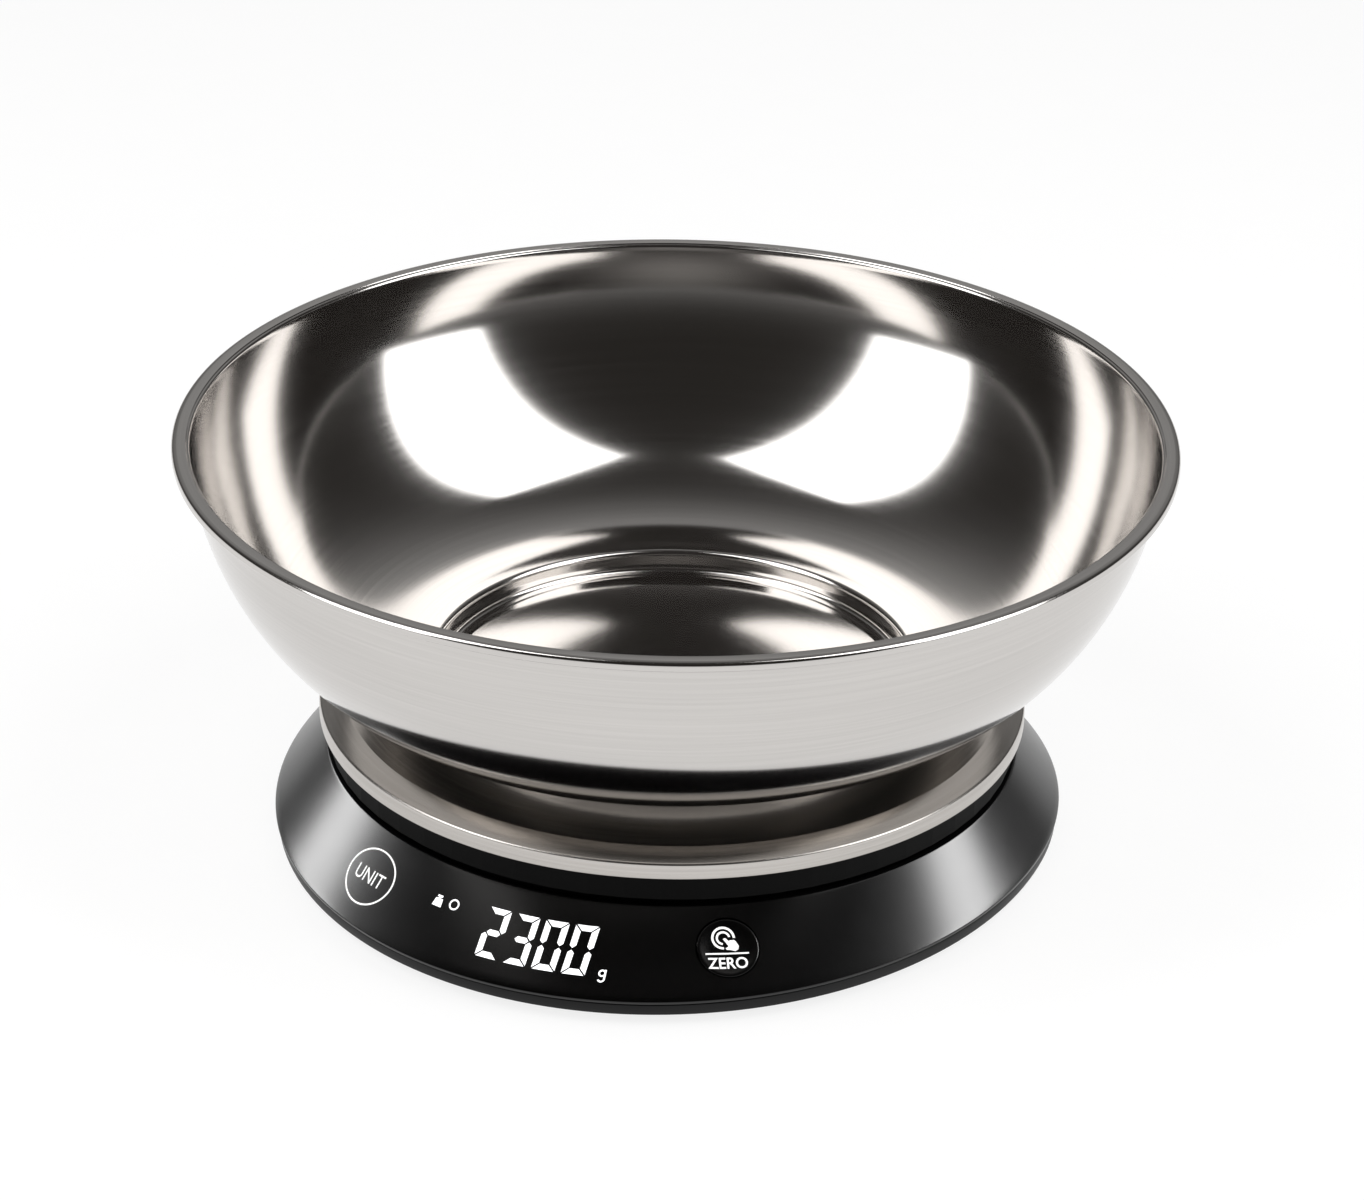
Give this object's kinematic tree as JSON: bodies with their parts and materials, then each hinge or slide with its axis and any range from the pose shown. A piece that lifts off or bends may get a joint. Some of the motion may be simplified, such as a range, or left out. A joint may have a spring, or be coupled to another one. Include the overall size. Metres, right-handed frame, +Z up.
{
  "type": "kitchen scale",
  "caption": "Round low electronic kitchen scale with a sloping control ring, a steel weighing platform and a lift-off steel mixing bowl",
  "frame": {"origin": "on the weighing axis at the height of the soles of the feet", "axes": "+Z up along the weighing axis, -Y towards the control panel, +X to the right of someone facing the panel from the front"},
  "size_m": [0.24, 0.24, 0.1017],
  "materials": {
    "bowl_steel": "satin spun stainless steel, finely brushed round the axis",
    "plate_steel": "stainless steel brushed in one direction",
    "gloss_black": "gloss black moulded plastic with printed white marks",
    "black_plastic": "fine textured black ABS",
    "foot_rubber": "matt black rubber",
    "zinc_steel": "bright zinc-plated steel",
    "beam_aluminium": "milled bare aluminium",
    "white_silicone": "white silicone coating",
    "circuit_board": "green solder mask on glass-fibre board",
    "chip_plastic": "moulded black epoxy",
    "ivory_plastic": "ivory nylon connector",
    "contact_metal": "nickel-plated spring steel",
    "copper_alloy": "phosphor bronze spring metal",
    "battery_jacket": "printed shrink sleeve, plain",
    "wire_insulation": "white PVC insulation",
    "red_insulation": "red PVC insulation",
    "black_insulation": "black PVC insulation"
  },
  "bodies": {
    "base": {"fascia_ring": "gloss_black", "upper_housing": "black_plastic", "bottom_cover": "black_plastic", "foot_1": "foot_rubber", "foot_2": "foot_rubber", "foot_3": "foot_rubber", "foot_4": "foot_rubber", "case_screw_1": "zinc_steel", "case_screw_2": "zinc_steel", "case_screw_3": "zinc_steel", "case_screw_4": "zinc_steel", "load_cell": "beam_aluminium", "load_cell_base_pad": "zinc_steel", "load_cell_screw_1": "zinc_steel", "load_cell_screw_2": "zinc_steel", "strain_gauge_coating": "white_silicone", "main_board": "circuit_board", "board_screw_1": "zinc_steel", "board_screw_2": "zinc_steel", "controller_chip": "chip_plastic", "display_connector": "ivory_plastic", "display_board": "circuit_board", "display_module": "chip_plastic", "key_board": "circuit_board", "zero_switch": "chip_plastic", "touch_board": "circuit_board", "unit_touch_pad": "copper_alloy", "unit_touch_spring": "copper_alloy", "battery_1": "battery_jacket", "battery_2": "battery_jacket", "battery_3": "battery_jacket", "battery_spring_1": "contact_metal", "battery_spring_2": "contact_metal", "battery_spring_3": "contact_metal", "battery_terminal_minus": "contact_metal", "battery_terminal_plus": "contact_metal", "battery_bridge_left": "contact_metal", "battery_bridge_right": "contact_metal", "load_cell_cable": "wire_insulation", "display_cable": "wire_insulation", "battery_wire_red": "red_insulation", "battery_wire_black": "black_insulation"},
    "platform": {"platform_plate": "plate_steel", "platform_tray": "black_plastic", "load_cell_top_pad": "zinc_steel", "platform_screw_1": "zinc_steel", "platform_screw_2": "zinc_steel"},
    "bowl": {"bowl": "bowl_steel"},
    "zero_button": {"zero_button": "gloss_black"},
    "battery_door": {"battery_door": "black_plastic"}
  },
  "joints": [
    {"name": "weighing_press", "type": "slide", "parent": "base", "child": "platform", "axis": [0, 0, -1], "range_m": [0, 0.0004], "stiffness_N_per_m": 120000},
    {"name": "bowl_lift", "type": "slide", "parent": "platform", "child": "bowl", "axis": [0, 0, 1], "range_m": [0, 0.12]},
    {"name": "zero_press", "type": "slide", "parent": "base", "child": "zero_button", "axis": [-0.2944, 0.5179, -0.8031], "range_m": [0, 0.0006], "stiffness_N_per_m": 3000},
    {"name": "battery_door_swing", "type": "hinge", "parent": "base", "child": "battery_door", "pos_m": [0, 0.0143, 0.002], "axis": [-1, 0, 0], "range_deg": [0, 100]}
  ]
}
